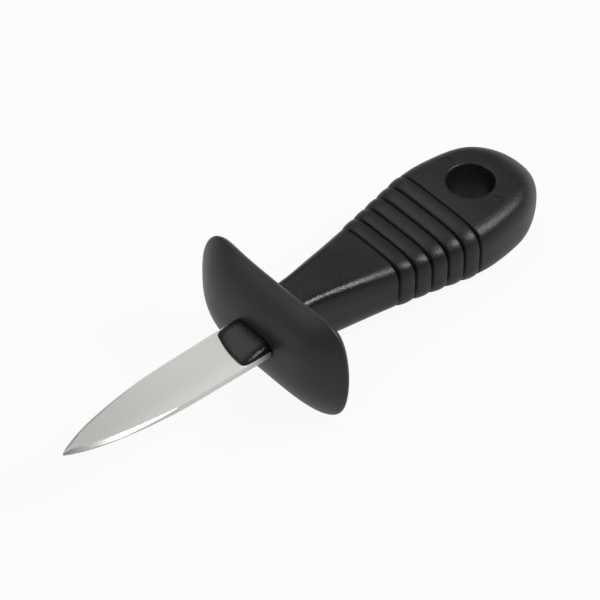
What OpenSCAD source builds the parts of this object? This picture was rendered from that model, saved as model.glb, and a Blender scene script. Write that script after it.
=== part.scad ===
// Oyster knife: a short spear-pointed blade, a dished hand guard and a ribbed handle with a hanging hole.
// Millimetres. The knife lies along X with the point towards -X, its blade flat in the XY plane.
// The origin is the middle of the hanging hole, whose axis is Z.

/* [Blade] */
// Length of the blade from the guard's front face to the point
blade_len = 62.5; // [50:0.5:75]
// Width of the blade where it leaves the guard
blade_w = 14.8; // [14.4:0.1:16]
// Thickness of the steel
blade_t = 1.8; // [1.4:0.1:2.2]
// Width that the blade loses evenly from the guard to the point
blade_narrowing = 1.8; // [0:0.1:4]
// How late the edges turn in to the point, higher is later
point_power = 4.7; // [3:0.1:7]
// How blunt the point looks from above, lower is blunter
point_draw = 0.94; // [0.6:0.02:1.2]
// Radius left on the very point
point_radius = 0.25; // [0.15:0.05:0.5]
// Full width of the ground bevel along each edge
bevel_w = 1; // [0.8:0.1:2.4]
// Thickness left at the blunt working edge
edge_t = 0.4; // [0.2:0.1:0.8]
// Distance from the guard at which the grinding starts
bevel_start = 30; // [18:1:34]
// Distance from the guard at which the edge has its least thickness
bevel_full = 46; // [38:1:48]

/* [Tang] */
// Length of the hidden tang behind the guard's front face
tang_len = 48; // [34:1:56]
// Width of the hidden tang
tang_w = 9; // [7:0.5:9.5]
// Bore through the tang that the handle's plastic fills
tang_hole_d = 5; // [3:0.5:6]
// Distance of that bore from the tang's end
tang_hole_from_end = 12; // [8:1:20]

/* [Guard] */
// Width of the guard across the knife
guard_w = 57.9; // [50:0.5:70]
// Height of the guard
guard_h = 35.6; // [32:0.5:44]
// Thickness of the guard's plate
guard_t = 2.3; // [2:0.1:3]
// How far the top and bottom edges sweep back towards the handle
guard_sweep_edges = 5.9; // [3:0.1:8]
// How far the two ends sweep back towards the handle
guard_sweep_ends = 7.5; // [3:0.1:12]
// How late the ends start to curl back, higher is later
guard_curl_power = 4; // [2:0.1:6]
// Squareness of the guard's outline along its width
guard_square_w = 6.3; // [3:0.1:8]
// Squareness of the guard's outline along its height
guard_square_h = 2.16; // [2:0.02:3]
// Clearance of the guard's slot round the nose's shank
slot_clearance = 0.15; // [0.05:0.05:0.3]
// Margin of the guard's rear pad round the end of the neck
pad_margin = 0.6; // [0.2:0.1:1.5]
// Flat land of the rear pad behind the deepest part of the plate
pad_land = 0.7; // [0.4:0.1:2]

/* [Nose] */
// Length of the nose in front of the guard, on the knife's axis
nose_len = 8.7; // [6:0.1:12]
// Width of the nose
nose_w = 14.4; // [12:0.1:14.4]
// Height of the nose at the guard
nose_h = 6.1; // [5.2:0.1:7]
// Angle of the nose's front edge off square
nose_slant = 11; // [0:1:15]
// How far the nose's front edge bows out
nose_bow = 0.9; // [0:0.1:1.5]
// Step of the nose down to the shank in the guard's slot
nose_lip = 0.3; // [0.1:0.05:0.4]
// Height of the step from the nose's front edge down to the blade
nose_step = 0.35; // [0.2:0.05:0.8]
// Gap between the nose's lip and the guard's front face
seam_gap = 0.1; // [0.05:0.05:0.3]

/* [Handle] */
// Length of the handle from its seat on the guard to the butt
handle_len = 90.7; // [84:0.1:105]
// Width of the neck at its seat
seat_w = 16.4; // [14.5:0.1:20]
// Width of the neck where it is narrowest
neck_w = 13.6; // [12.5:0.1:18]
// Distance from the seat to the narrowest place
neck_at = 8; // [6:0.5:12]
// Width halfway between the neck and the first groove
fore_w = 17.9; // [16:0.1:22]
// Width at the first groove
rib_w_front = 23.6; // [20:0.1:27]
// Width at the middle of the ribs
rib_w_mid = 29.4; // [25:0.1:32]
// Width at the widest place
belly_w = 33.6; // [30:0.1:38]
// Width that the butt's rounding starts from
butt_w = 31.8; // [28:0.1:36]
// Thickness of the neck
neck_t = 16.8; // [14.5:0.1:19]
// Thickness under the ribs
waist_t = 15.7; // [14:0.1:18]
// Thickness from the belly to the butt
belly_t = 18.8; // [16:0.1:22]
// Length of the butt's rounding seen from above
butt_round_plan = 20.3; // [16:0.1:26]
// Length of the butt's rounding seen from the side
butt_round_side = 11.7; // [6:0.1:12]
// Squareness of the handle's section across its width
section_square_w = 4.9; // [2.4:0.1:6]
// Squareness of the handle's section through its thickness
section_square_t = 3.5; // [2.4:0.1:5]
// Squareness of the section at the very end of the butt
butt_square = 2.4; // [2:0.1:3]
// Length over which the section softens towards the butt's end
butt_soften = 16; // [12:1:17]

/* [Grooves] */
// Number of grooves round the handle
groove_count = 6; // [3:1:6]
// Distance from the seat to the first groove
groove_first = 35.9; // [33:0.1:38]
// Distance from one groove to the next
groove_pitch = 4.82; // [4:0.02:4.9]
// Width of a groove
groove_w = 1.3; // [0.8:0.1:2]
// Depth of a groove
groove_depth = 0.75; // [0.3:0.05:1.2]
// How far each rib swells between two grooves
rib_crown = 0.3; // [0:0.05:0.6]

/* [Hanging hole] */
// Diameter of the hanging hole
hang_d = 13; // [10:0.1:14]
// Distance from the hole's axis to the butt
hang_from_butt = 19.5; // [18:0.1:22]
// Radius that rounds the hole's two mouths
hang_round = 0.6; // [0.3:0.05:0.9]

/* [Moulding marks] */
// Diameter of the two shallow ejector marks beside the hole
pin_mark_d = 3.8; // [2.5:0.1:4.5]
// Depth of an ejector mark
pin_mark_depth = 0.2; // [0.1:0.05:0.3]
// Distance of an ejector mark from the knife's axis
pin_mark_y = 10; // [9.5:0.1:11]

/* [Colours] */
// Colour of the steel
steel = "silver"; // [silver, lightgray, gray]
// Colour of the guard
guard_black = "#2b2b2c"; // [#2b2b2c, #202020, #383838]
// Colour of the handle
handle_black = "#343436"; // [#343436, #242424, #404040]

/* [Hidden] */
$fn = 64;

ring_points = 40;
seat_t = neck_t;

// Curve of the guard's plate: how far its front face lies behind the middle at y, z.
edge_power = 2.5;
function sweep(y, z) = guard_sweep_edges * pow(abs(2 * z) / guard_h, edge_power)
    + guard_sweep_ends * pow(abs(2 * y) / guard_w, guard_curl_power);

// The neck seats on a flat pad behind the plate, deep enough to cover the plate's curve.
pad_w = seat_w + 2 * pad_margin;
pad_h = seat_t + 2 * pad_margin;
seat_x = guard_t + sweep(0, pad_h / 2) + sweep(pad_w / 2, 0) + pad_land;
pad_front_x = max(guard_t / 2, sweep(0, pad_h / 2) + sweep(pad_w / 2, 0) + 0.2);

// Everything is placed from the guard's front face and then moved so that the hole is the origin.
hang_x = seat_x + handle_len - hang_from_butt;
shank_w = nose_w - 2 * nose_lip;
shank_h = nose_h - 2 * nose_lip;
shoulder_x = -seam_gap;

// Power that keeps the sign, for the rounded-box outlines.
function signed_pow(v, e) = sign(v) * pow(abs(v), e);

// Smooth curve through the stations (xs, ys), with its slopes from the neighbouring stations.
function rise(xs, ys, i) = (ys[i + 1] - ys[i]) / (xs[i + 1] - xs[i]);
function slope_at(xs, ys, i) =
    i == 0 ? rise(xs, ys, 0)
    : i == len(xs) - 1 ? rise(xs, ys, i - 1)
    : rise(xs, ys, i - 1) * rise(xs, ys, i) <= 0 ? 0
    : (rise(xs, ys, i - 1) * (xs[i + 1] - xs[i]) + rise(xs, ys, i) * (xs[i] - xs[i - 1]))
        / (xs[i + 1] - xs[i - 1]);
function span_of(xs, x, i = 0) = i >= len(xs) - 2 || x < xs[i + 1] ? i : span_of(xs, x, i + 1);
function blend(a, b, ma, mb, t) = (1 + 2 * t) * pow(1 - t, 2) * a + t * pow(1 - t, 2) * ma
    + t * t * (3 - 2 * t) * b + t * t * (t - 1) * mb;
function curve(xs, ys, x) =
    let (i = span_of(xs, x), h = xs[i + 1] - xs[i])
    blend(ys[i], ys[i + 1], h * slope_at(xs, ys, i), h * slope_at(xs, ys, i + 1), (x - xs[i]) / h);

// Share of the size that is left inside a rounded end of the given length.
function round_end(x, total, length) =
    let (t = max(0, (x - (total - length)) / length))
    sqrt(max(0, 1 - t * t));

// Half width and half thickness of the handle at a distance from its seat.
groove_last = groove_first + (groove_count - 1) * groove_pitch;
width_x = [0, neck_at, (neck_at + groove_first) / 2, groove_first, (groove_first + groove_last) / 2 + 2,
    groove_last + 4, handle_len - 15, handle_len];
width_y = [seat_w, neck_w, fore_w, rib_w_front, rib_w_mid, belly_w, butt_w, butt_w] / 2;
thick_x = [0, neck_at + 7, groove_first + 5, groove_last + 8, handle_len];
thick_y = [seat_t, neck_t, waist_t, belly_t, belly_t] / 2;
function half_w(s) = curve(width_x, width_y, s) * round_end(s, handle_len, butt_round_plan);
function half_t(s) = curve(thick_x, thick_y, s) * round_end(s, handle_len, butt_round_side);

// Inward offset of the surface: rounded grooves, with the ribs swelling between them.
function groove_cut(s, k) =
    let (d = abs(s - groove_first - k * groove_pitch))
    d >= groove_w / 2 ? 0 : groove_depth * pow(cos(180 * d / groove_w), 2);
function rib_swell(s) =
    let (u = (s - groove_first) / groove_pitch, f = u - floor(u))
    u <= 0 || u >= groove_count - 1 ? 0 : rib_crown * (1 - pow(2 * f - 1, 2));
function inset(s) = max([for (k = [0:groove_count - 1]) groove_cut(s, k)]) - rib_swell(s);

// One ring of a rounded-box section at x, with half sizes a and b.
function ring(x, a, b, ew, et, n = ring_points) =
    [for (i = [0:n - 1]) let (t = 360 * i / n) [x, a * signed_pow(cos(t), 2 / ew), b * signed_pow(sin(t), 2 / et)]];
function softened(s) =
    let (t = max(0, (s - handle_len + butt_soften) / butt_soften))
    t * t * (3 - 2 * t);
function handle_ring(s) = let (d = inset(s), k = softened(s))
    ring(seat_x + s, max(half_w(s) - d, 0.2), max(half_t(s) - d, 0.2),
        section_square_w + (butt_square - section_square_w) * k,
        section_square_t + (butt_square - section_square_t) * k);

// Distances from the seat at which the handle has a ring.
neck_s = [0, neck_at / 2, neck_at, neck_at + 4, neck_at + 8, neck_at + 12, neck_at + 16, neck_at + 20,
    groove_first - 3.5, groove_first - 1.5];
groove_steps = [-0.5, -0.25, 0, 0.25, 0.5] * groove_w;
rib_steps = [0.35, 0.5, 0.65] * groove_pitch;
butt_step = handle_len - groove_last - groove_w;
grip_s = [for (k = [0:groove_count - 1]) each concat(
    [for (g = groove_steps) groove_first + k * groove_pitch + g],
    k < groove_count - 1 ? [for (r = rib_steps) groove_first + k * groove_pitch + r] : [])];
butt_s = [for (i = [1:18]) groove_last + groove_w + butt_step * sin(90 * i / 18.3)];

// Nose rings run from its front edge back to the guard, each bent to the slanted, bowed front.
nose_square = 4;
nose_shares = [1, 0.985, 0.95, 0.9, 0.82, 0.7, 0.55, 0.36, 0.18, 0];
function front_x(y) = -nose_len + y * tan(nose_slant) + nose_bow * pow(2 * y / nose_w, 2);
function nose_half_w(u) = nose_w / 2 * (1 - 0.08 * pow(u, 10));
function nose_half_h(u) = blade_t / 2 + nose_step + (nose_h / 2 - blade_t / 2 - nose_step) * pow(1 - u * u, 0.7);
function nose_ring(u) = [for (p = ring(0, nose_half_w(u), nose_half_h(u), nose_square, 3))
    [shoulder_x + u * (front_x(p[1]) - shoulder_x), p[1], p[2]]];
function shank_ring(x) = ring(x, shank_w / 2, shank_h / 2, nose_square, 3);

// Closed solid through a list of rings of equal length, ordered along +X.
module loft(rings) {
    n = len(rings[0]);
    m = len(rings);
    points = [for (r = rings) each r];
    sides = [for (i = [0:m - 2], j = [0:n - 1]) let (k = (j + 1) % n)
        each [[i * n + j, (i + 1) * n + k, i * n + k], [i * n + j, (i + 1) * n + j, (i + 1) * n + k]]];
    // The end caps are strips between the upper and lower halves of a ring, so a bent end stays closed.
    half = n / 2;
    cap_front = [for (j = [0:half - 1]) let (a = j, b = j + 1, c = (n - j - 1) % n, d = (n - j) % n)
        each j == 0 ? [[a, b, c]] : j == half - 1 ? [[a, b, d]] : [[a, c, d], [a, b, c]]];
    last = (m - 1) * n;
    cap_back = [for (f = cap_front) [last + f[0], last + f[2], last + f[1]]];
    polyhedron(points = points, faces = concat(cap_front, sides, cap_back), convexity = 6);
}

// Half width of the blade and half thickness of its edge at a distance from the guard.
function blade_half(d) = let (u = min(1, d / blade_len))
    (blade_w - blade_narrowing * u) / 2 * pow(max(0, 1 - pow(u, point_power)), point_draw) + point_radius * u;
function ground_share(d) = min(1, max(0, (d - bevel_start) / (bevel_full - bevel_start)));
function edge_half(d) = (blade_t + (edge_t - blade_t) * ground_share(d)) / 2;
function bevel_at(d) = min(bevel_w * ground_share(d), blade_half(d) * 0.8);
// Half thickness inside the bevels, which keep their slope and so thin the very point.
function flat_half(d) = edge_half(d) + (blade_t - edge_t) / 2 * bevel_at(d) / bevel_w;
function blade_ring(d) = let (h = blade_half(d), e = edge_half(d), b = max(0.1, bevel_at(d)), t = flat_half(d))
    [for (p = [[h, e], [h - b, t], [b - h, t], [-h, e], [-h, -e], [b - h, -t], [h - b, -t], [h, -e]])
        [-d, p[0], p[1]]];
blade_steps = 30;

// Steel outside the handle: flat at the guard, ground to a blunt edge towards the point.
module blade_outside() {
    free_len = blade_len + shoulder_x;
    loft([for (i = [0:blade_steps]) let (u = i / blade_steps)
        blade_ring(blade_len - free_len * pow(u, 1.5))]);
}

// Flat tang inside the guard and the handle, with the bore that locks it.
module tang() {
    difference() {
        translate([shoulder_x, -tang_w / 2, -blade_t / 2])
            cube([tang_len - shoulder_x, tang_w, blade_t]);
        translate([tang_len - tang_hole_from_end, 0, -blade_t])
            cylinder(h = 2 * blade_t, d = tang_hole_d);
    }
}

module blade() {
    color(steel)
        translate([-hang_x, 0, 0]) {
            blade_outside();
            tang();
        }
}

// Outline angles of the guard, closer together where the long edges run straight.
quarter = [for (i = [0:13]) 90 * (1 - pow(1 - i / 14, 2.2))];
guard_angles = concat(quarter, [for (i = [0:13]) i == 0 ? 90 : 180 - quarter[14 - i]],
    [for (a = quarter) 180 + a], [for (i = [0:13]) i == 0 ? 270 : 360 - quarter[14 - i]]);
function guard_edge(a) = [guard_w / 2 * signed_pow(cos(a), 2 / guard_square_w),
    guard_h / 2 * signed_pow(sin(a), 2 / guard_square_h)];

// Point of the plate at y, z, the given depth behind the front face, measured square to it.
function plate_point(y, z, depth) =
    let (e = 0.01,
        sy = (sweep(y + e, z) - sweep(y - e, z)) / (2 * e),
        sz = (sweep(y, z + e) - sweep(y, z - e)) / (2 * e),
        q = sqrt(1 + sy * sy + sz * sz))
    [sweep(y, z) + depth / q, y - depth * sy / q, z - depth * sz / q];

// Share of the outline and share of the thickness for each ring of the plate, round the rim.
rim = guard_t / 2;
rim_turn = [0, 25, 50, 75, 90, 105, 130, 155, 180];
plate_inner = [0.2, 0.4, 0.6, 0.8];
function plate_ring(share, back, depth) = [for (a = guard_angles) let (p = guard_edge(a))
    plate_point(p[0] * share * (1 - 2 * back / guard_w), p[1] * share * (1 - 2 * back / guard_h), depth)];

module plate() {
    rings = concat(
        [for (s = plate_inner) plate_ring(s, rim, 0)],
        [for (t = rim_turn) plate_ring(1, rim * (1 - sin(t)), rim * (1 - cos(t)))],
        [for (i = [0:3]) plate_ring(plate_inner[3 - i], rim, guard_t)]);
    n = len(guard_angles);
    m = len(rings);
    points = concat([for (r = rings) each r], [plate_point(0, 0, 0), plate_point(0, 0, guard_t)]);
    sides = [for (i = [0:m - 2], j = [0:n - 1]) let (k = (j + 1) % n)
        each [[i * n + j, (i + 1) * n + k, i * n + k], [i * n + j, (i + 1) * n + j, (i + 1) * n + k]]];
    front = [for (j = [0:n - 1]) [m * n, j, (j + 1) % n]];
    rear = [for (j = [0:n - 1]) [m * n + 1, (m - 1) * n + (j + 1) % n, (m - 1) * n + j]];
    polyhedron(points = points, faces = concat(front, sides, rear), convexity = 6);
}

// Straight bar along X with a rounded-box section, from x0 to x1.
module bar(x0, x1, w, h, ew, et) {
    outline = [for (p = ring(0, w / 2, h / 2, ew, et)) [p[1], p[2]]];
    translate([x0, 0, 0])
        rotate([90, 0, 90])
            linear_extrude(height = x1 - x0)
                polygon(outline);
}

module guard() {
    color(guard_black)
        translate([-hang_x, 0, 0])
            difference() {
                union() {
                    plate();
                    bar(pad_front_x, seat_x, pad_w, pad_h, section_square_w, section_square_t);
                }
                bar(-guard_t, seat_x + guard_t, shank_w + 2 * slot_clearance, shank_h + 2 * slot_clearance,
                    nose_square, 3);
            }
}

// Handle moulding without its holes: nose, shank through the guard, neck, ribs and butt in one skin.
module handle_skin() {
    loft(concat(
        [for (u = nose_shares) nose_ring(u)],
        [shank_ring(shoulder_x), shank_ring(seat_x)],
        [for (s = concat(neck_s, grip_s, butt_s)) handle_ring(s)]));
}

// Rounded mouth of the hanging hole on the upper face, cut from a flared plug.
module mouth() {
    top = belly_t / 2;
    r = hang_d / 2;
    arc = [for (i = [0:8]) let (t = 90 * i / 8)
        [r + hang_round * (1 - cos(t)), top - hang_round * (1 - sin(t))]];
    rotate_extrude()
        polygon(concat([[0, top - hang_round]], arc, [[r + hang_round, top + 2], [0, top + 2]]));
}

// Ejector mark: a shallow disc cut square to the crowned face beside the hole.
module pin_mark(side) {
    s = hang_x - seat_x;
    crown = function (y) half_t(s) * pow(1 - pow(abs(y) / half_w(s), section_square_w), 1 / section_square_t);
    tilt = atan(crown(pin_mark_y - 1) - crown(pin_mark_y + 1)) / 2;
    translate([0, side * pin_mark_y, crown(pin_mark_y)])
        rotate([-side * tilt, 0, 0])
            translate([0, 0, -pin_mark_depth])
                cylinder(h = 3, d = pin_mark_d);
}

module handle() {
    color(handle_black)
        difference() {
            translate([-hang_x, 0, 0])
                difference() {
                    handle_skin();
                    translate([-blade_len, -blade_w, -blade_t / 2])
                        cube([blade_len + shoulder_x, 2 * blade_w, blade_t]);
                    tang();
                }
            translate([0, 0, -belly_t])
                cylinder(h = 2 * belly_t, d = hang_d);
            mouth();
            mirror([0, 0, 1])
                mouth();
            pin_mark(1);
            pin_mark(-1);
        }
}

blade();
guard();
handle();
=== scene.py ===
"""Looks of an oyster knife around its CAD part, in metres and in the part's own frame.

The knife lies along X with its point towards -X and its blade flat in the XY plane.
The origin is the middle of the hanging hole. Shapes are worked out in millimetres from the
guard's front face, as in the part's source, and moved to the frame when a mesh is made.
"""

import math

import bmesh
import bpy
import numpy as np
from mathutils import Matrix, Vector


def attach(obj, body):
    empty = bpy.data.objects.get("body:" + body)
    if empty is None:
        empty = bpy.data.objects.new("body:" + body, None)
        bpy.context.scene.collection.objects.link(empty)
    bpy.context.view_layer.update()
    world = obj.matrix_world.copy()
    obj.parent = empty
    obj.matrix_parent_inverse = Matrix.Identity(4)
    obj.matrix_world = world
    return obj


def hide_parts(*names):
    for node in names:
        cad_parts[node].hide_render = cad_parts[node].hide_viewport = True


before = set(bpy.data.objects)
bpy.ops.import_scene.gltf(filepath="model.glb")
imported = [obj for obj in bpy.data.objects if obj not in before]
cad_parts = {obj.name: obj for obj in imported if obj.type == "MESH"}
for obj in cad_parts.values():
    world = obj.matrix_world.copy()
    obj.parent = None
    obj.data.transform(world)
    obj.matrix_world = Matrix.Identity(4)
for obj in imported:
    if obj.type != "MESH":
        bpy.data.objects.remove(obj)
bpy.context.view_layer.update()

# Blade, in millimetres
blade_len = 62.5
blade_w = 14.8
blade_t = 1.8
blade_narrowing = 1.8
point_power = 4.7
point_draw = 0.94
point_radius = 0.25
bevel_w = 1.0
bevel_least = 0.1
bevel_share = 0.8
edge_t = 0.4
bevel_start = 30
bevel_full = 46
tang_len = 48
tang_w = 9

# Guard
guard_w = 57.9
guard_h = 35.6
guard_t = 2.3
guard_sweep_edges = 5.9
guard_sweep_ends = 7.5
edge_power = 2.5
guard_curl_power = 4
guard_square_w = 6.3
guard_square_h = 2.16
slot_clearance = 0.15
pad_margin = 0.6
pad_land = 0.7
pad_fillet = 0.5
rim_square_front = 3
rim_square_rear = 5
rim_draw = 0.2

# Nose
nose_len = 8.7
nose_w = 14.4
nose_h = 6.1
nose_slant = 11
nose_bow = 0.9
nose_lip = 0.3
nose_step = 0.35
nose_square = 4
nose_square_t = 3
nose_draw = 0.08
nose_draw_power = 10
nose_rise_power = 0.7
seam_gap = 0.1
seam_round = 0.22

# Handle, with the places of its widths and thicknesses along it
handle_len = 90.7
seat_w = 16.4
neck_w = 13.6
neck_at = 8
fore_w = 17.9
rib_w_front = 23.6
rib_w_mid = 29.4
belly_w = 33.6
butt_w = 31.8
rib_mid_shift = 2
belly_past_grooves = 4
butt_from_end = 15
neck_t = 16.8
waist_t = 15.7
belly_t = 18.8
neck_t_past_neck = 7
waist_past_groove = 5
belly_t_past_grooves = 8
butt_round_plan = 20.3
butt_round_side = 11.7
section_square_w = 4.9
section_square_t = 3.5
butt_square = 2.4
butt_soften = 16

# Grooves
groove_count = 6
groove_first = 35.9
groove_pitch = 4.82
groove_w = 1.3
groove_depth = 0.75
rib_crown = 0.3

# Hanging hole and ejector marks
hang_d = 13
hang_from_butt = 19.5
hang_round = 0.6
pin_mark_d = 3.8
pin_mark_depth = 0.2
pin_mark_y = 10

# Points in a ring of each mesh, and the angle in degrees past which an edge is sharp
guard_points = 288
handle_points = 200
hole_points = 96
mark_points = 48
blade_sharp = 30
guard_sharp = 40
handle_sharp = 35

# Number of rings along the blade, across the guard and along the handle
blade_rings = 220
front_rings = 30
rim_rings = 37
rear_rings = 26
pad_rings = 5
nose_rings = 26
seam_rings = 6
neck_rings = 46
ribs_rings = 250
butt_rings = 60
flare_rings = 9

# How the rings crowd towards the blade's point, and where those of the seam and the butt end
blade_crowding = 1.5
seam_share = 0.03
butt_share = 0.999

# Half sizes of the section round which the grip's points lie evenly
grip_half_w = 14.5
grip_half_t = 8.5

# How far a plug reaches past the surface that it cuts
plug_past = 2

MM = 0.001
shoulder_x = -seam_gap
groove_last = groove_first + (groove_count - 1) * groove_pitch


def signed_pow(v, power):
    """Power of the size of v that keeps the sign of v."""
    return np.sign(v) * np.abs(v) ** power


def sweep(y, z):
    """How far the guard's front lies behind its middle: a power of the height plus one of the width."""
    return (guard_sweep_edges * np.abs(2 * z / guard_h) ** edge_power
            + guard_sweep_ends * np.abs(2 * y / guard_w) ** guard_curl_power)


pad_w = seat_w + 2 * pad_margin
pad_h = neck_t + 2 * pad_margin
seat_x = guard_t + sweep(0, pad_h / 2) + sweep(pad_w / 2, 0) + pad_land
hang_x = seat_x + handle_len - hang_from_butt


def curve(stations, values, x):
    """Smooth curve through the stations: cubics whose slopes are means of the neighbouring rises."""
    xs = np.array(stations, float)
    ys = np.array(values, float)
    gaps = np.diff(xs)
    rises = np.diff(ys) / gaps
    before, after = rises[:-1], rises[1:]
    inner = (before * gaps[1:] + after * gaps[:-1]) / (gaps[1:] + gaps[:-1])
    slopes = np.concatenate([rises[:1], np.where(before * after <= 0, 0, inner), rises[-1:]])
    i = np.clip(np.searchsorted(xs, x, side="right") - 1, 0, len(gaps) - 1)
    t = (x - xs[i]) / gaps[i]
    return ((1 + 2 * t) * (1 - t) ** 2 * ys[i] + t * (1 - t) ** 2 * gaps[i] * slopes[i]
            + t * t * (3 - 2 * t) * ys[i + 1] + t * t * (t - 1) * gaps[i] * slopes[i + 1])


def round_end(s, length):
    """Share of the size left inside the butt's rounding: a quarter ellipse of the given length."""
    t = np.clip((s - (handle_len - length)) / length, 0, 1)
    return np.sqrt(1 - t * t)


def half_w(s):
    """Half width of the handle at s from its seat."""
    stations = [0, neck_at, (neck_at + groove_first) / 2, groove_first,
                (groove_first + groove_last) / 2 + rib_mid_shift, groove_last + belly_past_grooves,
                handle_len - butt_from_end, handle_len]
    widths = [seat_w, neck_w, fore_w, rib_w_front, rib_w_mid, belly_w, butt_w, butt_w]
    return curve(stations, widths, s) / 2 * round_end(s, butt_round_plan)


def half_t(s):
    """Half thickness of the handle at s from its seat."""
    stations = [0, neck_at + neck_t_past_neck, groove_first + waist_past_groove,
                groove_last + belly_t_past_grooves, handle_len]
    sizes = [neck_t, neck_t, waist_t, belly_t, belly_t]
    return curve(stations, sizes, s) / 2 * round_end(s, butt_round_side)


def inset(s):
    """Inward offset of the grip: a squared cosine in each groove, less a parabola on each rib."""
    u = (s - groove_first) / groove_pitch
    nearest = np.clip(np.round(u), 0, groove_count - 1)
    d = np.abs(u - nearest) * groove_pitch
    groove = np.where(d < groove_w / 2, groove_depth * np.cos(math.pi * d / groove_w) ** 2, 0)
    swell = np.where((u > 0) & (u < groove_count - 1), rib_crown * (1 - (2 * (u % 1) - 1) ** 2), 0)
    return groove - swell


def even_turns(count, a, b, power_y, power_z):
    """Angles at which a rounded-box outline of half sizes a and b has points an even distance apart."""
    fine = np.linspace(0, math.pi / 2, 4001)
    y = a * np.cos(fine) ** (2 / power_y)
    z = b * np.sin(fine) ** (2 / power_z)
    run = np.concatenate([[0], np.cumsum(np.hypot(np.diff(y), np.diff(z)))])
    quarter = np.interp(np.linspace(0, run[-1], count // 4 + 1), run, fine)
    return np.concatenate([quarter[:-1], math.pi - quarter[:0:-1],
                           math.pi + quarter[:-1], 2 * math.pi - quarter[:0:-1]])


def outline(turns, a, b, power_y, power_z):
    """Rounded-box outline: powers of the cosine and the sine, scaled to half sizes a and b."""
    c = np.where(np.abs(np.cos(turns)) < 1e-9, 0, np.cos(turns))
    s = np.where(np.abs(np.sin(turns)) < 1e-9, 0, np.sin(turns))
    return a * signed_pow(c, 2 / power_y), b * signed_pow(s, 2 / power_z)


def ring_stack(x, y, z):
    """Rings of points, shape (rings, points, 3), from arrays that broadcast."""
    return np.stack(np.broadcast_arrays(x, y, z), axis=-1)


def strip_faces(count):
    """Faces that close a flat end between its two halves: quads, with a triangle at each side."""
    j = np.arange(1, count // 2 - 1)
    quads = np.stack([j, j + 1, count - j - 1, count - j], axis=1)
    half = count // 2
    return [*quads.tolist(), [0, 1, count - 1], [half - 1, half, half + 1]]


def skin_faces(rings, count, wrap):
    """Quads between neighbouring rings, and from the last ring to the first where the profile closes."""
    i, j = np.meshgrid(np.arange(rings if wrap else rings - 1), np.arange(count), indexing="ij")
    i2, j2 = (i + 1) % rings, (j + 1) % count
    quads = np.stack([i * count + j, i2 * count + j, i2 * count + j2, i * count + j2], axis=-1)
    return quads.reshape(-1, 4).tolist()


def add_mesh(name, points, faces, sharp_angle):
    """Object from points in millimetres from the guard, smooth but for edges past the sharp angle."""
    mesh = bpy.data.meshes.new(name)
    mesh.from_pydata(((points - [hang_x, 0, 0]) * MM).tolist(), [], faces)
    obj = bpy.data.objects.new(name, mesh)
    bpy.context.scene.collection.objects.link(obj)
    tidy_mesh(mesh, sharp_angle)
    return obj


def tidy_mesh(mesh, sharp_angle):
    """Merges doubled points, turns the faces outwards and sets smooth shading with sharp edges."""
    work = bmesh.new()
    work.from_mesh(mesh)
    bmesh.ops.remove_doubles(work, verts=work.verts, dist=1e-7)
    bmesh.ops.dissolve_degenerate(work, edges=work.edges, dist=1e-8)
    bmesh.ops.recalc_face_normals(work, faces=work.faces)
    work.to_mesh(mesh)
    work.free()
    mesh.shade_smooth()
    mesh.set_sharp_from_angle(angle=math.radians(sharp_angle))


def sharpen_lengthwise(mesh, count):
    """Makes every edge that runs from ring to ring sharp, so each long strip is shaded by itself."""
    ends = np.empty(len(mesh.edges) * 2, int)
    mesh.edges.foreach_get("vertices", ends)
    columns = ends.reshape(-1, 2) % count
    mesh.edges.foreach_set("use_edge_sharp", columns[:, 0] == columns[:, 1])
    mesh.update()


def add_loft(name, rings, pole, sharp_angle):
    """Closed skin over rings, its front end closed by a strip and its rear by a fan to the pole."""
    rows, count = rings.shape[:2]
    points = np.vstack([rings.reshape(-1, 3), pole])
    last = (rows - 1) * count
    fan = [[last + j, last + (j + 1) % count, len(points) - 1] for j in range(count)]
    faces = skin_faces(rows, count, wrap=False) + strip_faces(count) + fan
    return add_mesh(name, points, faces, sharp_angle)


def cut(target, cutter, sharp_angle):
    """Takes the cutter's solid away from the target's and removes the cutter."""
    step = target.modifiers.new("cut", "BOOLEAN")
    step.operation = "DIFFERENCE"
    step.solver = "EXACT"
    step.object = cutter
    bpy.context.view_layer.update()
    made = target.evaluated_get(bpy.context.evaluated_depsgraph_get())
    mesh = bpy.data.meshes.new_from_object(made)
    target.modifiers.clear()
    target.data = mesh
    bpy.data.objects.remove(cutter)
    tidy_mesh(mesh, sharp_angle)


# Shapes

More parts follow.
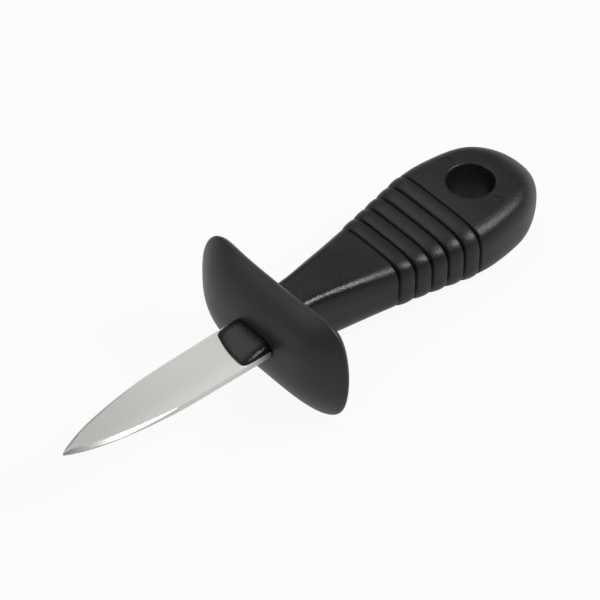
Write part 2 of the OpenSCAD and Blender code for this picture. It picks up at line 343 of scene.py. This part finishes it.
def make_blade():
    """Spear point from two powers of the distance, a flat section with bevels, then the tang.

    At a share u of the way to the point the half width is w / 2 * (1 - u ** p) ** q + r * u.
    The rings lie closer together towards the point, by a power of their number.
    """
    free_len = blade_len + shoulder_x
    d = blade_len - free_len * np.linspace(0, 1, blade_rings)[:, None] ** blade_crowding
    u = np.clip(d / blade_len, 0, 1)
    width = blade_w - blade_narrowing * u
    half = width / 2 * np.maximum(0, 1 - u ** point_power) ** point_draw + point_radius * u
    ground = np.clip((d - bevel_start) / (bevel_full - bevel_start), 0, 1)
    edge = (blade_t + (edge_t - blade_t) * ground) / 2
    bevel = np.minimum(bevel_w * ground, half * bevel_share)
    flat = half - np.maximum(bevel_least, bevel)
    third = flat / 3
    t = edge + (blade_t - edge_t) / 2 * bevel / bevel_w
    y = np.hstack([half, flat, third, -third, -flat, -half, -half, -flat, -third, third, flat, half])
    z = np.hstack([edge, t, t, t, t, edge, -edge, -t, -t, -t, -t, -edge])
    steel = ring_stack(-d, y, z)
    tang_y = np.sign(y[-1]) * np.minimum(np.abs(y[-1]), tang_w / 2)
    tang = ring_stack(np.array([[shoulder_x], [tang_len]]), tang_y[None, :], z[-1][None, :])
    rings = np.concatenate([steel, tang])
    # A ring starts at its edge, so the faces that close an end run between its two halves.
    rows, count = rings.shape[:2]
    faces = skin_faces(rows, count, wrap=False)
    ends = [[j, j + 1, count - 2 - j, count - 1 - j] for j in range(count // 2 - 1)]
    last = (rows - 1) * count
    faces += ends + [[last + v for v in face] for face in ends]
    blade = add_mesh("blade_steel", rings.reshape(-1, 3), faces, blade_sharp)
    sharpen_lengthwise(blade.data, count)
    return blade


def make_guard():
    """Dished plate with a slot: one profile per angle, from the slot over front, rim, rear and pad."""
    count = guard_points
    turns = even_turns(count, guard_w / 2, guard_h / 2, guard_square_w, guard_square_h)
    rim = guard_t / 2
    rim_y, rim_z = outline(turns, guard_w / 2, guard_h / 2, guard_square_w, guard_square_h)
    angle = np.arctan2(rim_z / guard_h, rim_y / guard_w)
    slot_half_w = nose_w / 2 - nose_lip + slot_clearance
    slot_half_h = nose_h / 2 - nose_lip + slot_clearance
    slot_y, slot_z = outline(angle, slot_half_w, slot_half_h, nose_square, nose_square_t)
    pad_y, pad_z = outline(angle, pad_w / 2, pad_h / 2, section_square_w, section_square_t)
    inner_y, inner_z = rim_y * (1 - 2 * rim / guard_w), rim_z * (1 - 2 * rim / guard_h)

    def at_depth(y, z, depth):
        """Point at y, z of the front face, moved back by the depth, square to the face."""
        e = 0.01
        slope_y = (sweep(y + e, z) - sweep(y - e, z)) / (2 * e)
        slope_z = (sweep(y, z + e) - sweep(y, z - e)) / (2 * e)
        q = np.sqrt(1 + slope_y ** 2 + slope_z ** 2)
        x = sweep(y, z) + depth / q
        return np.stack([x, y - depth * slope_y / q, z - depth * slope_z / q], axis=-1)

    def between(first_y, first_z, share):
        """Outline a share of the way from the first one to the plate's flat edge."""
        return first_y + (inner_y - first_y) * share, first_z + (inner_z - first_z) * share

    rows = []
    for share in np.linspace(0, 1, front_rings)[:-1]:
        rows.append(at_depth(*between(slot_y, slot_z, share), 0))
    for turn in np.radians(np.linspace(0, 180, rim_rings)):
        power = 2 / (rim_square_front if turn < math.pi / 2 else rim_square_rear)
        back = rim * (1 - math.sin(turn) ** power) + rim_draw
        depth = rim * (1 - math.copysign(abs(math.cos(turn)) ** power, math.cos(turn)))
        y, z = rim_y * (1 - 2 * back / guard_w), rim_z * (1 - 2 * back / guard_h)
        rows.append(at_depth(y, z, depth))
    for share in np.linspace(1, 0, rear_rings)[1:-1]:
        rows.append(at_depth(*between(pad_y, pad_z, share), guard_t))
    pad_foot = at_depth(pad_y, pad_z, guard_t)
    pad_foot[:, 1], pad_foot[:, 2] = pad_y, pad_z
    rows.append(pad_foot)
    for turn in np.radians(np.linspace(0, 90, pad_rings)):
        shrink = 1 - pad_fillet * (1 - math.cos(turn)) / (pad_w / 2)
        x = seat_x - pad_fillet * (1 - math.sin(turn))
        rows.append(ring_stack(np.full(count, x), pad_y * shrink, pad_z * shrink))
    rows.append(ring_stack(np.full(count, seat_x), slot_y, slot_z))
    faces = skin_faces(len(rows), count, wrap=True)
    return add_mesh("guard_plate", np.concatenate(rows), faces, guard_sharp)


def make_handle():
    """One skin from the nose over shank, seat, neck and ribs to the butt, then its hole and marks.

    A share u of 1 is the nose's front and 0 its rear. Its height rises by (1 - u * u) ** power, and
    its width keeps 1 - draw * u ** power of its full size.
    """
    turns = even_turns(handle_points, grip_half_w, grip_half_t, section_square_w, section_square_t)
    nose_turns = even_turns(handle_points, nose_w / 2, nose_h / 2, nose_square, nose_square_t)
    u_front = 1 - np.linspace(0, 1, nose_rings)[:-1] ** 2
    u = np.concatenate([u_front, np.linspace(seam_share, 0, seam_rings)])[:, None]
    rear = np.clip(1 - u * nose_len / seam_round, 0, 1)
    lift = (1 - u * u) ** nose_rise_power * (nose_h / 2 - blade_t / 2 - nose_step)
    a = nose_w / 2 * (1 - nose_draw * u ** nose_draw_power) - seam_round * rear ** 2
    b = blade_t / 2 + nose_step + lift - seam_round * rear ** 2
    y, z = outline(nose_turns, a, b, nose_square, nose_square_t)
    front = -nose_len + y * math.tan(math.radians(nose_slant)) + nose_bow * (2 * y / nose_w) ** 2
    nose = ring_stack(shoulder_x + u * (front - shoulder_x), y, z)
    shank_half_w, shank_half_h = nose_w / 2 - nose_lip, nose_h / 2 - nose_lip
    y, z = outline(nose_turns, shank_half_w, shank_half_h, nose_square, nose_square_t)
    shank = ring_stack(np.array([[shoulder_x], [seat_x]]), y, z)

    grip_end = groove_last + groove_w
    to_butt = np.sin(np.linspace(0, butt_share, butt_rings) * math.pi / 2)
    rows = np.concatenate([np.linspace(0, groove_first - groove_w, neck_rings)[:-1],
                           np.linspace(groove_first - groove_w, grip_end, ribs_rings)[:-1],
                           grip_end + (handle_len - grip_end) * to_butt])
    s = rows[:, None]
    soft = np.clip((s - (handle_len - butt_soften)) / butt_soften, 0, 1)
    soft = soft * soft * (3 - 2 * soft)
    power_y = section_square_w + (butt_square - section_square_w) * soft
    power_z = section_square_t + (butt_square - section_square_t) * soft
    y, z = outline(turns, half_w(s) - inset(s), half_t(s) - inset(s), power_y, power_z)
    grip = ring_stack(seat_x + s, y, z)
    pole = [seat_x + handle_len, 0, 0]
    handle = add_loft("handle_grip", np.concatenate([nose, shank, grip]), pole, handle_sharp)

    cut(handle, hole_plug(), handle_sharp)
    for side in (1, -1):
        cut(handle, mark_plug(side), handle_sharp)
    return handle


def spun(name, radius, height, count):
    """Solid of revolution about the hole's axis from radii and heights that rise from the bottom."""
    turn = np.arange(count) * 2 * math.pi / count
    radius, height = np.array(radius)[:, None], np.array(height)[:, None]
    rings = ring_stack(hang_x + radius * np.cos(turn), radius * np.sin(turn), height)
    last = (len(rings) - 1) * count
    faces = skin_faces(len(rings), count, wrap=False)
    faces += [list(range(count)), [last + j for j in range(count)]]
    return add_mesh(name, rings.reshape(-1, 3), faces, handle_sharp)


def hole_plug():
    """Plug of the hanging hole, flared at both ends by quarter circles that round its mouths."""
    r, top = hang_d / 2, belly_t / 2
    turn = np.radians(np.linspace(0, 90, flare_rings))
    flare_r = r + hang_round * (1 - np.cos(turn))
    flare_z = top - hang_round * (1 - np.sin(turn))
    radius = np.concatenate([flare_r[-1:], flare_r[::-1], flare_r, flare_r[-1:]])
    height = np.concatenate([[-top - plug_past], -flare_z[::-1], flare_z, [top + plug_past]])
    return spun("hole_plug", radius, height, hole_points)


def mark_plug(side):
    """Disc of an ejector mark, sunk square to the crowned face beside the hole."""
    s = hang_x - seat_x
    a, b = float(half_w(np.array(s))), float(half_t(np.array(s)))

    def crown(y):
        """Height of the handle's face at a distance y from its middle line."""
        return b * (1 - (y / a) ** section_square_w) ** (1 / section_square_t)

    plug = spun("mark_plug", [pin_mark_d / 2] * 2, [-pin_mark_depth, plug_past], mark_points)
    tilt = math.atan((crown(pin_mark_y - 1) - crown(pin_mark_y + 1)) / 2)
    place = Matrix.Translation((0, side * pin_mark_y * MM, crown(pin_mark_y) * MM))
    plug.data.transform(place @ Matrix.Rotation(-side * tilt, 4, "X"))
    return plug


# Materials

class Sock:
    """A shader socket in arithmetic: each sum, difference or product adds its Math node."""

    def __init__(self, shader, out):
        self.shader, self.out = shader, out

    def math(self, operation, *others):
        """Result of a Math node on this value and the others."""
        return self.shader.add("ShaderNodeMath", {"operation": operation}, [self, *others])

    def __add__(self, other):
        return self.math("ADD", other)

    def __mul__(self, other):
        return self.math("MULTIPLY", other)

    def __sub__(self, other):
        return self.math("SUBTRACT", other)

    def __rsub__(self, other):
        return self.shader.add("ShaderNodeMath", {"operation": "SUBTRACT"}, [other, self])

    __radd__ = __add__


class Shader:
    """A material's node tree, filled by one method that adds any node."""

    def __init__(self, name):
        self.material = bpy.data.materials.new(name)
        self.material.use_nodes = True
        self.tree = self.material.node_tree
        self.tree.nodes.clear()

    def add(self, kind, settings=None, inputs=(), output=0):
        """Adds a node: settings first, then a value or a link for each socket, by place or by name."""
        node = self.tree.nodes.new(kind)
        for key, value in (settings or {}).items():
            setattr(node, key, value)
        pairs = inputs.items() if isinstance(inputs, dict) else enumerate(inputs)
        for key, value in pairs:
            if isinstance(value, Sock):
                self.tree.links.new(value.out, node.inputs[key])
            elif value is not None:
                node.inputs[key].default_value = value
        return Sock(self, node.outputs[output])

    def place(self, scale=(1, 1, 1)):
        """Object coordinates, stretched by the scale."""
        coordinates = self.add("ShaderNodeTexCoord", output="Object")
        return self.add("ShaderNodeMapping", None, {"Vector": coordinates, "Scale": scale})

    def axis(self, name):
        """One of the object coordinates X, Y and Z, in metres."""
        return self.add("ShaderNodeSeparateXYZ", None, [self.place()], output=name)

    def noise(self, size, scale=(1, 1, 1), detail=3.0, roughness=0.5):
        """Noise of 0 to 1 whose features are about the given size in metres."""
        values = {"Vector": self.place(scale), "Scale": 1 / size}
        values.update({"Detail": detail, "Roughness": roughness})
        return self.add("ShaderNodeTexNoise", None, values)

    def ramp(self, value, low, high):
        """Value mapped so that low becomes 0 and high becomes 1, smoothly."""
        settings = {"interpolation_type": "SMOOTHSTEP"}
        return self.add("ShaderNodeMapRange", settings, [value, low, high, 0.0, 1.0])

    def mix(self, share, first, second):
        """Colour between the first and the second."""
        settings = {"data_type": "RGBA"}
        return self.add("ShaderNodeMix", settings, {0: share, 6: first, 7: second}, output=2)

    def bump(self, height, distance, normal=None):
        """Normal from a height of 0 to 1 that stands for the given distance in metres."""
        values = {"Height": height, "Distance": distance, "Normal": normal}
        return self.add("ShaderNodeBump", None, values)

    def finish(self, values):
        """Principled surface with the given socket values, joined to the output."""
        surface = self.add("ShaderNodeBsdfPrincipled", None, values)
        self.add_output(surface)
        return self.material

    def add_output(self, surface):
        """Joins a surface to the material's output."""
        node = self.tree.nodes.new("ShaderNodeOutputMaterial")
        self.tree.links.new(surface.out, node.inputs["Surface"])


def grey(level, warmth=0.0):
    """Linear colour of a grey, slightly warm or cool."""
    return (level * (1 + warmth), level, level * (1 - warmth), 1.0)


def steel_colour(level):
    """Linear colour of the steel: a grey with a little green in it."""
    return (level * 0.985, level * 1.015, level * 0.95, 1.0)


# Steel, from a darker tone at the point to a painted sheen at the guard, with heights in metres
steel_dark = 0.40
steel_bright = 0.78
steel_scratched = 0.72
steel_bump = 0.0000015

# Plastic: its reflection, and how much smoother the neck is than the ribs, over what run in metres
plastic_specular = 0.3
neck_gloss = 0.15
neck_gloss_run = 0.02


def steel_finish():
    """Satin stainless steel: fine grain along the blade, faint cloudiness and scattered scratches.

    It gets brighter from the point to the guard, and a little from the middle to the near edge; that
    brightening is a painted sheen in the colour, and only the cloudiness is the steel's own tone.
    """
    m = Shader("blade_satin_steel")
    grain = m.noise(0.0003, scale=(0.05, 1, 1), detail=3.0)
    clouds = m.noise(0.012, detail=2.0)
    scratches = m.ramp(m.noise(0.0004, scale=(0.04, 1, 0.5), detail=2.0, roughness=0.7), 0.68, 0.74)
    rough = 0.30 + clouds * 0.06 + grain * 0.05 - scratches * 0.05
    # Painted sheen: the colour brightens from the point to the guard and towards the near edge, standing
    # in for the lamps' reflection
    painted_sheen_along = m.ramp(m.axis("X"), -(hang_x + blade_len) * MM, -hang_x * MM)
    painted_sheen_near_edge = m.ramp(m.axis("Y"), 0.0, -blade_w / 2 * MM)
    # Painted sheen from the two ramps, plus the steel's own random cloudiness
    painted_sheen_and_clouds = painted_sheen_along * 0.65 + painted_sheen_near_edge * 0.2 + clouds * 0.15
    colour = m.mix(painted_sheen_and_clouds, steel_colour(steel_dark), steel_colour(steel_bright))
    colour = m.mix(scratches * 0.25, colour, steel_colour(steel_scratched))
    normal = m.bump(grain, steel_bump)
    normal = m.bump(scratches, steel_bump, normal=normal)
    return m.finish({"Base Color": colour, "Metallic": 1.0, "Roughness": rough, "Normal": normal})


def plastic_finish(name, level, warmth, rough_low, rough_high, texture, gloss_from=None):
    """Moulded black plastic: fine mould texture, slow gloss changes and a few rubbed spots.

    It is smoother nearer the guard than gloss_from, in metres along X. The texture is a height
    in metres.
    """
    m = Shader(name)
    fine = m.noise(0.0006, detail=3.0, roughness=0.5)
    slow = m.noise(0.009, detail=3.0)
    rubbed = m.ramp(m.noise(0.0045, detail=5.0, roughness=0.65), 0.60, 0.72)
    rough = rough_low + slow * (rough_high - rough_low) + rubbed * 0.06
    if gloss_from is not None:
        gloss = 1 - m.ramp(m.axis("X"), gloss_from, gloss_from + neck_gloss_run)
        rough = rough - gloss * neck_gloss
    colour = m.mix(slow * 0.6 + rubbed * 0.4, grey(level, warmth), grey(level * 1.6, warmth))
    normal = m.bump(fine, texture)
    values = {"Base Color": colour, "Roughness": rough, "Normal": normal}
    values["Specular IOR Level"] = plastic_specular
    return m.finish(values)


# Pieces

def dress(piece, node, material):
    """Puts a piece on the knife in place of its CAD node."""
    piece.data.materials.clear()
    piece.data.materials.append(material)
    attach(piece, "root")
    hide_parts(node)
    return piece


mid_neck = (groove_first / 2 + seat_x - hang_x) * MM
guard_finish = plastic_finish("guard_matt_plastic", level=0.017, warmth=0.04, rough_low=0.34,
                              rough_high=0.42, texture=0.00002)
handle_finish = plastic_finish("handle_satin_plastic", level=0.007, warmth=-0.04, rough_low=0.34,
                               rough_high=0.42, texture=0.00008, gloss_from=mid_neck)
dress(make_blade(), "blade", steel_finish())
guard = dress(make_guard(), "guard", guard_finish)
handle = dress(make_handle(), "handle", handle_finish)


# Stage

def lowest_along(obj, slope):
    """Least height of an object's points above a plane through the origin that rises along X."""
    count = len(obj.data.vertices)
    points = np.empty(count * 3)
    obj.data.vertices.foreach_get("co", points)
    points = points.reshape(-1, 3)
    return float((points[:, 2] - slope * points[:, 0]).min())


def floor_slope():
    """Slope at which one plane touches the guard's lower rim and the butt, found by halving."""
    low, high = 0.0, 0.3
    for _ in range(30):
        slope = (low + high) / 2
        if lowest_along(guard, slope) < lowest_along(handle, slope):
            low = slope
        else:
            high = slope
    return slope


# Pale paper in the lamps' light takes the shadow. The camera sees it mixed with a share of plain
# white, and mirror-like surfaces see a part of that share.
floor_size = 3.0
floor_level = 0.55
floor_white = 0.93
floor_mirrored = 0.6
world_level = 0.25
slope = floor_slope()
floor_drop = lowest_along(guard, slope)
reach = floor_size / 2
corners = [(x, y, slope * x + floor_drop) for x, y in
           ((-reach, -reach), (reach, -reach), (reach, reach), (-reach, reach))]
floor_mesh = bpy.data.meshes.new("floor")
floor_mesh.from_pydata(corners, [], [[0, 1, 2, 3]])
floor = bpy.data.objects.new("floor", floor_mesh)
bpy.context.scene.collection.objects.link(floor)

paper = Shader("floor_paper")
diffuse = paper.add("ShaderNodeBsdfDiffuse", None, {"Color": grey(floor_level)})
white = paper.add("ShaderNodeEmission", None, {"Color": grey(1.0), "Strength": 1.0})
seen = paper.add("ShaderNodeLightPath", output="Is Camera Ray")
mirrored = paper.add("ShaderNodeLightPath", output="Is Glossy Ray")
through = paper.add("ShaderNodeLightPath", output="Is Transmission Ray")
white_share = (seen + mirrored * floor_mirrored + through) * floor_white
paper.add_output(paper.add("ShaderNodeMixShader", None, [white_share, diffuse, white]))
floor_mesh.materials.append(paper.material)

world = bpy.data.worlds.new("studio")
bpy.context.scene.world = world
world.use_nodes = True
world.node_tree.nodes["Background"].inputs["Color"].default_value = grey(1.0)
world.node_tree.nodes["Background"].inputs["Strength"].default_value = world_level

# The point on the knife that the lamps and the camera face
aim = Vector((-0.0618, -0.0026, 0.0071))


def add_light(name, direction, distance, size, radiance):
    """Square soft light that faces the knife from a direction, with the given radiance."""
    data = bpy.data.lights.new(name, "AREA")
    data.shape = "SQUARE"
    data.size = size
    data.energy = radiance * math.pi * size * size
    light = bpy.data.objects.new(name, data)
    towards = Vector(direction).normalized()
    light.location = aim + towards * distance
    light.rotation_euler = towards.to_track_quat("Z", "Y").to_euler()
    bpy.context.scene.collection.objects.link(light)


add_light("overhead", (0.47, -0.48, 0.74), distance=1.2, size=0.5, radiance=16.0)
add_light("behind", (0.05, 0.50, 0.86), distance=1.5, size=1.25, radiance=1.4)
add_light("left", (-0.85, 0.35, 0.45), distance=1.5, size=0.9, radiance=2.0)

# Camera, at the photograph's angle: its distance in metres and its lens in pixels of the frame
view_azimuth = math.radians(-41.637)
view_elevation = math.radians(45.011)
view_roll = math.radians(0.738)
view_distance = 1.11479
focal_px = 4347.7
frame_px = 600
sensor_w = 36.0

sin_a, cos_a = math.sin(view_azimuth), math.cos(view_azimuth)
sin_e, cos_e = math.sin(view_elevation), math.cos(view_elevation)
back = Vector((sin_a * cos_e, -cos_a * cos_e, sin_e))
level_right = Vector((cos_a, sin_a, 0))
level_up = back.cross(level_right)
right = level_right * math.cos(view_roll) + level_up * math.sin(view_roll)
up = level_up * math.cos(view_roll) - level_right * math.sin(view_roll)
camera_data = bpy.data.cameras.new("camera")
camera_data.sensor_width = sensor_w
camera_data.lens = focal_px / frame_px * sensor_w
camera_data.clip_end = 20
camera = bpy.data.objects.new("camera", camera_data)
facing = Matrix((right, up, back)).transposed().to_4x4()
camera.matrix_world = Matrix.Translation(aim + back * view_distance) @ facing
bpy.context.scene.collection.objects.link(camera)
bpy.context.scene.camera = camera
bpy.context.scene.view_settings.view_transform = "Standard"
